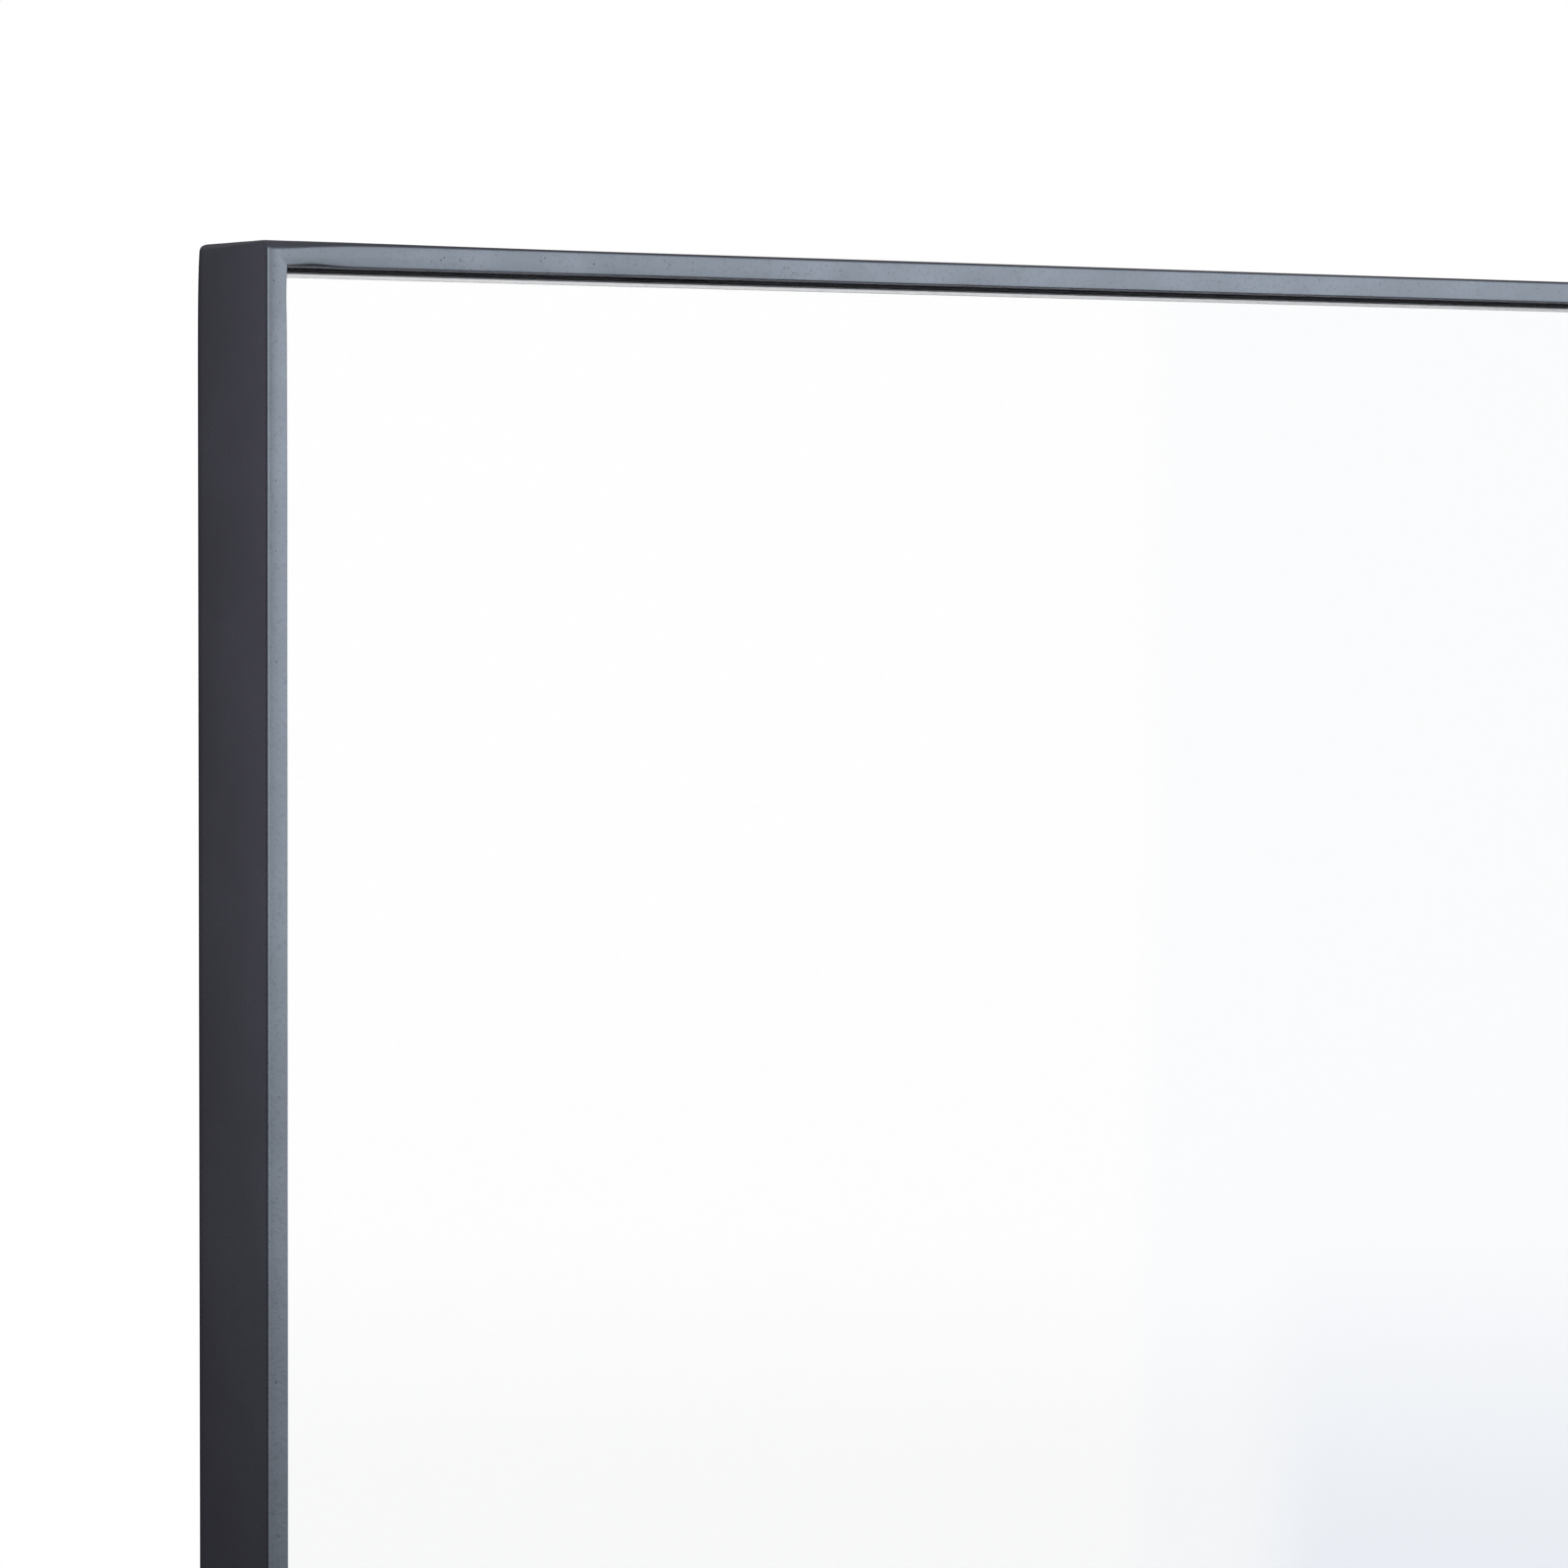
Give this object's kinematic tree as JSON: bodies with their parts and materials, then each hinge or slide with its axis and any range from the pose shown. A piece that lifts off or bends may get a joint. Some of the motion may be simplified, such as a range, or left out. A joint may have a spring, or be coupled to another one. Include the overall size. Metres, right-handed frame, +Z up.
{
  "type": "wall mirror",
  "caption": "Rectangular wall mirror: glass set deep in a slim welded flat-bar steel frame, with a screwed backing board, soft wall bumpers and turning D-ring hangers.",
  "frame": {"origin": "centre of the wall plane, which the rear bumpers touch, halfway across and halfway up the frame", "axes": "+X right as seen from the front, +Y into the wall, +Z up; the mirror faces -Y"},
  "size_m": [0.6096, 0.033, 0.9144],
  "materials": {
    "frame_coat": "satin powder coat",
    "bumper_rubber": "matte",
    "mirror_glass": "polished, seamed edge",
    "silver": "silvered",
    "backing_film": "woven film",
    "block_rubber": "matte",
    "tape_foam": "closed-cell foam",
    "board": "raw fibreboard",
    "plated_screws": "zinc plated",
    "plated_hangers": "nickel plated"
  },
  "bodies": {
    "mirror": {"top_rail": "frame_coat", "bottom_rail": "frame_coat", "left_stile": "frame_coat", "right_stile": "frame_coat", "corner_welds": "frame_coat", "fixing_tabs": "frame_coat", "tab_welds": "frame_coat", "wall_bumpers": "bumper_rubber", "mirror_glass": "mirror_glass", "silver_coating": "silver", "safety_film": "backing_film", "setting_blocks": "block_rubber", "foam_tape": "tape_foam", "backing_board": "board", "board_screws": "plated_screws", "hanger_screws": "plated_screws", "strap_upper_left": "plated_hangers", "strap_upper_right": "plated_hangers", "strap_side_top": "plated_hangers", "strap_side_bottom": "plated_hangers"},
    "ring_upper_left": {"ring_upper_left": "plated_hangers"},
    "ring_upper_right": {"ring_upper_right": "plated_hangers"},
    "ring_side_top": {"ring_side_top": "plated_hangers"},
    "ring_side_bottom": {"ring_side_bottom": "plated_hangers"}
  },
  "joints": [
    {"name": "ring_upper_left_turn", "type": "hinge", "parent": "mirror", "child": "ring_upper_left", "pos_m": [-0.2658, -0.0028, 0.3022], "axis": [1, 0, 0], "range_deg": [0, 175]},
    {"name": "ring_upper_right_turn", "type": "hinge", "parent": "mirror", "child": "ring_upper_right", "pos_m": [0.2658, -0.0028, 0.3022], "axis": [1, 0, 0], "range_deg": [0, 175]},
    {"name": "ring_side_top_turn", "type": "hinge", "parent": "mirror", "child": "ring_side_top", "pos_m": [-0.1498, -0.0028, 0.4182], "axis": [0, 0, -1], "range_deg": [0, 175]},
    {"name": "ring_side_bottom_turn", "type": "hinge", "parent": "mirror", "child": "ring_side_bottom", "pos_m": [-0.1498, -0.0028, -0.4182], "axis": [0, 0, -1], "range_deg": [0, 175]}
  ]
}
